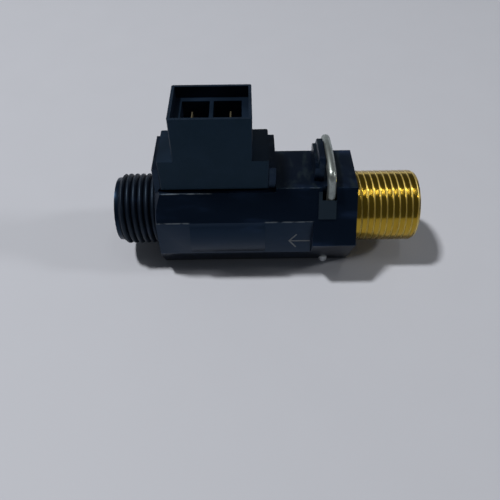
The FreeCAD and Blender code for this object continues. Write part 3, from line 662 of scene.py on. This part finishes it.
def reed_glass():
    """Green glass tube, slightly wavy."""
    pale, deep = (0.62, 0.80, 0.70), (0.50, 0.72, 0.62)
    finish = Finish("reed_glass", Transmission_Weight=1.0, IOR=1.52)
    base = finish.mix(finish.noise(300), pale, deep)
    waves = finish.noise(600, detail=1.0, stretch=(0.3, 1, 1))
    return finish.done(base, rough=0.04, relief=waves, depth=0.01 * MM, strength=0.3)


def table_top(colour):
    """Smooth pale table with a faint mottle."""
    finish = Finish("table_top", Specular_IOR_Level=0.25)
    cloud = finish.noise(60, detail=4.0)
    base = finish.mix(cloud, shade(colour, 0.985), shade(colour, 1.015))
    return finish.done(base, finish.linear(cloud, 0.1, 0.55))


def coat(target, material):
    """Gives an object one material in all its slots."""
    if not target.material_slots:
        target.data.materials.append(material)
    for slot in target.material_slots:
        slot.material = material


def dress(made, material, body, slot, *nodes):
    """Finish and body of a new piece, and the nodes that it stands for. The slot is not used."""
    coat(made, material)
    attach(made, body)
    if nodes:
        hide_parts(*nodes)


# Pieces


class FLOW_SWITCH_OT_valve_body(Operator):
    """Moulded body with rounded edges and its outlet thread"""

    bl_idname = "flow_switch.valve_body"
    bl_label = "Valve body"

    def execute(self, context):
        thread = context.scene.flow_switch_thread
        colour = tuple(context.scene.flow_switch_finish.body_plastic)
        pilot, fade = BODY_LOW.x + 0.95 * MM, 0.5 * MM
        run_out, stop = HEX_LEFT + 0.1 * MM, HEX_LEFT + 0.3 * MM
        inner, core, rim, skin = 8.9 * MM, 9.2 * MM, 9.3 * MM, 9.45 * MM
        slope, fullness = 1.1, 2.2
        points, triangles = welded("valve_body")
        points = drawn_in(points, pilot, run_out, skin, CLEAR, core)
        body = softened("valve_body_shell", points, triangles, width=0.18 * MM)
        dress(body, body_plastic(colour), "body", "black_plastic", "valve_body")

        def form(x, turn):
            """Broad rounded crests 1 - s^fullness, s the share of half a pitch from their middle, held
            under the end's chamfer. At both ends of the sleeve the radius is the rim's."""
            aside = np.abs(2 * turn - 1)
            high = thread.outlet_root + (thread.crest - thread.outlet_root) * (1 - aside ** fullness)
            high = np.maximum(np.minimum(high, rim + slope * (x - pilot)), thread.outlet_root)
            inside = smooth_step(x, pilot, pilot + fade) * smooth_step(x, stop, run_out)
            return rim + (high - rim) * inside

        sleeve = thread_sleeve("outlet_thread", thread, pilot, stop, inner, OUTLET_CREST, form, rows=14)
        dress(sleeve, thread_plastic(colour), "body", "black_plastic")
        return {"FINISHED"}


class FLOW_SWITCH_OT_inlet(Operator):
    """Brass nipple with its thread"""

    bl_idname = "flow_switch.inlet"
    bl_label = "Brass inlet"

    def execute(self, context):
        thread = context.scene.flow_switch_thread
        colour = tuple(context.scene.flow_switch_finish.brass)
        start, stop, over = BODY_HIGH.x, NIPPLE_RIGHT - 0.03 * MM, 0.1 * MM
        tucked, neck_end, full_depth = start - 0.3 * MM, start + 0.1 * MM, start + 0.8 * MM
        inner, core, skin = 8.8 * MM, 9.1 * MM, 9.2 * MM
        rim, neck, lip = 9.38 * MM, 9.7 * MM, 9.8 * MM
        crown, slope, fade = 0.03 * MM, 0.55, 0.18 * MM
        points, triangles = welded("inlet_nipple")
        points = drawn_in(points, start - over, NIPPLE_RIGHT + over, skin, CLEAR, core)
        nipple = softened("inlet_nipple_core", points, triangles, width=0.15 * MM)
        dress(nipple, brass("brass", colour), "inlet", "brass", "inlet_nipple")

        def form(x, turn):
            """Broad crests, lower by crown s^2 at the share s of half a pitch from their middle, between
            narrow grooves; a plain neck by the body, and a chamfer from the lip to the rim at the end."""
            aside = np.abs(2 * turn - 1)
            high = thread.crest - crown * aside ** 2
            high = high + (thread.brass_root - high) * smooth_step(aside, GROOVE, 1.0)
            high = neck + (high - neck) * smooth_step(x, neck_end, full_depth)
            high = np.minimum(high, lip + slope * (stop - x))
            return rim + (high - rim) * smooth_step(x, stop, stop - fade)

        sleeve = thread_sleeve("inlet_thread", thread, tucked, stop, inner, BRASS_CREST, form, rows=20)
        dress(sleeve, brass("brass_thread", colour, thread.pitch), "inlet", "brass")
        return {"FINISHED"}


class FLOW_SWITCH_OT_clip(Operator):
    """Wire clip that holds the nipple"""

    bl_idname = "flow_switch.clip"
    bl_label = "Retaining clip"

    def execute(self, context):
        wires = context.scene.flow_switch_wire
        plane, half, tip = CLIP_HIGH.x - CLIP_WIRE, CLIP_HIGH.y - CLIP_WIRE, CLIP_LOW.z
        lean, turn, knee, bow = wires.clip_lean, wires.clip_turn, wires.clip_knee, wires.clip_bow
        bend = AXIS + CLIP_BEND - turn * lean
        swing = math.asin((half - knee) / (bow - knee))
        top = (CLIP_HIGH.z - CLIP_WIRE - AXIS - CLIP_BEND) / math.cos(lean)
        straight_run = top - bow + (bow - knee) * math.cos(swing)
        runs = [bend - tip, turn * lean, straight_run, knee * (math.pi / 2 - swing), bow * swing]
        leg_end, bend_end, straight_end, knee_end, middle = np.cumsum(runs)
        whole = 2 * middle

        def route(along):
            """Up one leg, round a bend that leans the wire over, on to a knee, half along the bow, and the
            same way down. In the leaning plane the knee is a circle round a point inside it, and the bow a
            wide circle that meets it square to the same radius."""
            one = np.minimum(along, whole - along)
            angle = np.clip((one - leg_end) / turn, 0, lean)
            straight = np.clip(one - bend_end, 0, straight_run)
            knee_angle = np.clip((one - straight_end) / knee, 0, math.pi / 2 - swing)
            bow_angle = swing - np.clip((one - knee_end) / bow, 0, swing)
            over = half - knee * (1 - np.cos(knee_angle)) - bow * (math.sin(swing) - np.sin(bow_angle))
            lift = straight + knee * np.sin(knee_angle) + bow * (np.cos(bow_angle) - math.cos(swing))
            back = turn * (1 - np.cos(angle)) + lift * math.sin(lean)
            rise = np.minimum(one, leg_end) + turn * np.sin(angle) + lift * math.cos(lean)
            return np.stack([plane - back, np.where(along < middle, over, -over), tip + rise], -1)

        def across(along):
            """The flow axis stands across the wire everywhere."""
            return np.broadcast_to([1.0, 0.0, 0.0], (len(along), 3))

        lengths, radii = cut_ends(whole, CLIP_WIRE, wires.clip_burr, count=380)
        clip = swept("retaining_clip_wire", route, across, lengths, radii, sides=28)
        colour = tuple(context.scene.flow_switch_finish.clip_steel)
        steel = drawn_steel("clip_steel", colour, ends=tip + 1.6 * MM)
        dress(clip, steel, "clip", "clip_steel", "retaining_clip")
        return {"FINISHED"}


class FLOW_SWITCH_OT_spring(Operator):
    """Return spring with closed ends"""

    bl_idname = "flow_switch.spring"
    bl_label = "Return spring"

    def execute(self, context):
        wire = context.scene.flow_switch_wire.spring_wire
        total = context.scene.flow_switch_wire.spring_turns
        inset, gap, play, shut, opened = 0.35 * MM, 0.03 * MM, 0.08 * MM, 0.8, 1.3
        radius = SPRING_HIGH.y - inset
        left, right = GUIDE_RIGHT + wire + gap, SPRING_HIGH.x - wire
        turns = np.linspace(0, total, 721)
        opening = smooth_step(turns, shut, opened) * smooth_step(turns, total - shut, total - opened)
        gain = np.concatenate([[0], np.cumsum((opening[1:] + opening[:-1]) / 2)])
        closed = 2.1 * wire
        spare = (right - left) - closed * total
        place = left + closed * turns + spare * gain / gain[-1]

        def route(turn):
            """Helix whose pitch is about one wire at the closed ends and even between them."""
            return turned(np.interp(turn, turns, place), radius, 2 * np.pi * turn)

        def across(turn):
            """Away from the flow axis."""
            angle = 2 * np.pi * turn
            return np.stack([np.zeros_like(angle), np.cos(angle), np.sin(angle)], -1)

        lengths, radii = cut_ends(total, wire, burr=0.3 * wire, count=320)
        spring = swept("return_spring_wire", route, across, lengths, radii, sides=10)
        steel = drawn_steel("spring_steel", (0.55, 0.56, 0.57), scale=6000, rough=0.2)
        dress(spring, steel, "body", "clip_steel", "return_spring")
        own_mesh(spring)
        return {"FINISHED"}


class FLOW_SWITCH_OT_strainer(Operator):
    """Strainer: fine wires wound both ways inside their frame"""

    bl_idname = "flow_switch.strainer"
    bl_label = "Strainer"

    def execute(self, context):
        thick = context.scene.flow_switch_wire.mesh_wire
        count = context.scene.flow_switch_wire.mesh_wires
        middle = MESH_HIGH.y - 0.15 * MM
        points, faces = wound_wires(MESH_LOW.x + thick, MESH_HIGH.x - thick, middle, thick, count)
        screen = piece("strainer_screen", points, faces, sharp=80.0)
        steel = drawn_steel("mesh_steel", (0.58, 0.58, 0.56), scale=6000, rough=0.25)
        dress(screen, steel, "inlet", "steel_mesh", "strainer_mesh")
        return {"FINISHED"}


class FLOW_SWITCH_OT_module(Operator):
    """Switch module: softened housing, its cover and the contact blades"""

    bl_idname = "flow_switch.module"
    bl_label = "Switch module"

    def execute(self, context):
        finish = context.scene.flow_switch_finish
        plastic = module_plastic(tuple(finish.module_plastic))
        housing = softened("switch_housing_shell", *welded("switch_housing"), width=0.16 * MM)
        dress(housing, plastic, "body", "black_gloss_plastic", "switch_housing")
        coat(frame["nodes"]["reed_cover"], plastic)
        contact = plated_contact(tuple(finish.contact))
        for node in ("terminal_left", "terminal_right"):
            coat(frame["nodes"][node], contact)
        return {"FINISHED"}


class FLOW_SWITCH_OT_inner(Operator):
    """Finishes of the pieces inside the body"""

    bl_idname = "flow_switch.inner"
    bl_label = "Inner pieces"

    def execute(self, context):
        rubber = moulded("seal_rubber", (0.012, 0.012, 0.013), rough=0.55, depth=0.01 * MM)
        acetal = moulded("acetal", (0.74, 0.74, 0.70), rough=0.32, depth=0.006 * MM)
        ferrite = moulded("ferrite", (0.035, 0.034, 0.036), rough=0.5, depth=0.02 * MM, scale=1800)
        blade = (0.62, 0.60, 0.56)
        reed = moulded("reed_metal", blade, rough=0.2, depth=0.004 * MM, scale=5000, Metallic=1.0)
        finishes = {
            rubber: ("inlet_o_ring", "seat_o_ring"),
            acetal: ("strainer_frame", "seat_ring", "piston", "magnet_retainer", "spring_guide"),
            ferrite: ("piston_magnet",),
            reed: ("reed_blade_left", "reed_blade_right"),
            reed_glass(): ("reed_glass",),
        }
        for material, nodes in finishes.items():
            for node in nodes:
                coat(frame["nodes"][node], material)
        return {"FINISHED"}


class FLOW_SWITCH_OT_arrow(Operator):
    """Marked arrow that shows the way of the water"""

    bl_idname = "flow_switch.arrow"
    bl_label = "Flow arrow"

    def execute(self, context):
        front, back = -SIDE_FLAT - 0.03 * MM, -SIDE_FLAT + 0.2 * MM
        tip, tail = np.array([6.15, 13.2]) * MM, np.array([12.1, 13.15]) * MM
        barb, stroke = np.array([2.02, 2.62]) * MM, 0.22 * MM
        points, faces, first = [], [], 0
        for strip in arrow_strips(tip, tail, barb, stroke):
            points.append(ribbon(strip, front, back).reshape(-1, 3))
            faces.append(bar_faces(len(strip)) + first)
            first += 4 * len(strip)
        arrow = piece("flow_arrow", np.concatenate(points), np.concatenate(faces), sharp=30.0)
        grey = tuple(context.scene.flow_switch_finish.marking)
        mark = moulded("marking", grey, rough=0.7, depth=0.004 * MM, scale=6000)
        dress(arrow, mark, "body", "black_plastic")
        return {"FINISHED"}


class FLOW_SWITCH_OT_stage(Operator):
    """Table, lamps and camera"""

    bl_idname = "flow_switch.stage"
    bl_label = "Stage"

    def execute(self, context):
        scene, stage = context.scene, context.scene.flow_switch_stage
        scene.view_settings.view_transform = "Standard"
        self.table(scene, stage)
        for name, (towards, distance, size) in LAMPS.items():
            self.lamp(scene, name, Vector(towards).normalized(), distance, size, getattr(stage, name))
        scene.world = self.room(stage.sky, stage.wall)
        camera = bpy.data.objects.new("camera", bpy.data.cameras.new("camera"))
        camera.data.lens = stage.lens
        camera.data.sensor_width = stage.sensor
        camera.location = stage.camera
        camera.rotation_euler = stage.turn
        scene.collection.objects.link(camera)
        scene.camera = camera
        return {"FINISHED"}

    def table(self, scene, stage):
        """Square table top, a hair below the part."""
        reach, gap = 3.0, 0.02 * MM
        spread = np.array([[-1, -1], [1, -1], [1, 1], [-1, 1]]) * reach
        corners = np.concatenate([spread, np.full((4, 1), CAD_BOX[0].z - gap)], axis=1)
        mesh = bpy.data.meshes.new("table")
        mesh.from_pydata(corners.tolist(), [], [[0, 1, 2, 3]])
        table = bpy.data.objects.new("table", mesh)
        scene.collection.objects.link(table)
        coat(table, table_top(tuple(stage.table)))

    def lamp(self, scene, name, towards, distance, size, watts):
        """Rectangular lamp at a distance in one direction from the part, facing it."""
        data = bpy.data.lights.new(name, "AREA")
        data.shape = "RECTANGLE"
        data.size, data.size_y = size
        data.energy = watts
        lamp = bpy.data.objects.new(name, data)
        lamp.location = towards * distance
        lamp.rotation_euler = towards.to_track_quat("Z", "Y").to_euler()
        scene.collection.objects.link(lamp)

    def room(self, sky, wall):
        """Dim room with a pale wall low behind the part: the wall's share grows with y and fades with z."""
        grows, fades, tone = (0.5, 0.8), (0.24, 0.16), (0.9, 0.97, 1.06, 1.0)
        world = bpy.data.worlds.new("room")
        world.use_nodes = True
        nodes, links = world.node_tree.nodes, world.node_tree.links
        split = nodes.new("ShaderNodeSeparateXYZ")
        links.new(nodes.new("ShaderNodeTexCoord").outputs["Generated"], split.inputs[0])
        share = nodes.new("ShaderNodeMath")
        share.operation = "MULTIPLY"
        for place, direction, (start, end) in ((0, "Y", grows), (1, "Z", fades)):
            step = nodes.new("ShaderNodeMapRange")
            step.interpolation_type = "SMOOTHSTEP"
            step.inputs["From Min"].default_value = start
            step.inputs["From Max"].default_value = end
            links.new(split.outputs[direction], step.inputs["Value"])
            links.new(step.outputs[0], share.inputs[place])
        strength = nodes.new("ShaderNodeMapRange")
        strength.inputs["To Min"].default_value = sky
        strength.inputs["To Max"].default_value = wall
        links.new(share.outputs[0], strength.inputs["Value"])
        nodes["Background"].inputs["Color"].default_value = tone
        links.new(strength.outputs[0], nodes["Background"].inputs["Strength"])
        return world


class FLOW_SWITCH_PT_panel(Panel):
    """Steps of the build and their settings"""

    bl_idname = "FLOW_SWITCH_PT_panel"
    bl_label = "Flow switch"
    bl_space_type = "VIEW_3D"
    bl_region_type = "UI"
    bl_category = "Flow switch"

    def draw(self, context):
        for settings in SETTINGS:
            group = getattr(context.scene, settings)
            for key in group.__annotations__:
                self.layout.prop(group, key)
        for step in STEPS:
            self.layout.operator(step.bl_idname)


STEPS = (
    FLOW_SWITCH_OT_valve_body,
    FLOW_SWITCH_OT_inlet,
    FLOW_SWITCH_OT_clip,
    FLOW_SWITCH_OT_spring,
    FLOW_SWITCH_OT_strainer,
    FLOW_SWITCH_OT_module,
    FLOW_SWITCH_OT_inner,
    FLOW_SWITCH_OT_arrow,
    FLOW_SWITCH_OT_stage,
)
SETTINGS = {
    "flow_switch_thread": ThreadSettings,
    "flow_switch_wire": WireSettings,
    "flow_switch_finish": FinishSettings,
    "flow_switch_stage": StageSettings,
}


def register():
    """Makes the classes known to Blender, and gives the scene its settings."""
    for group in (*SETTINGS.values(), *STEPS, FLOW_SWITCH_PT_panel):
        bpy.utils.register_class(group)
    for name, group in SETTINGS.items():
        setattr(bpy.types.Scene, name, PointerProperty(type=group))


def unregister():
    """Takes the settings and the classes away again."""
    for name in SETTINGS:
        delattr(bpy.types.Scene, name)
    for group in (FLOW_SWITCH_PT_panel, *reversed(STEPS), *SETTINGS.values()):
        bpy.utils.unregister_class(group)


def main():
    """Registers the classes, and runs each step."""
    register()
    bpy.ops.flow_switch.valve_body()
    bpy.ops.flow_switch.inlet()
    bpy.ops.flow_switch.clip()
    bpy.ops.flow_switch.spring()
    bpy.ops.flow_switch.strainer()
    bpy.ops.flow_switch.module()
    bpy.ops.flow_switch.inner()
    bpy.ops.flow_switch.arrow()
    bpy.ops.flow_switch.stage()


if __name__ == "__main__":
    main()
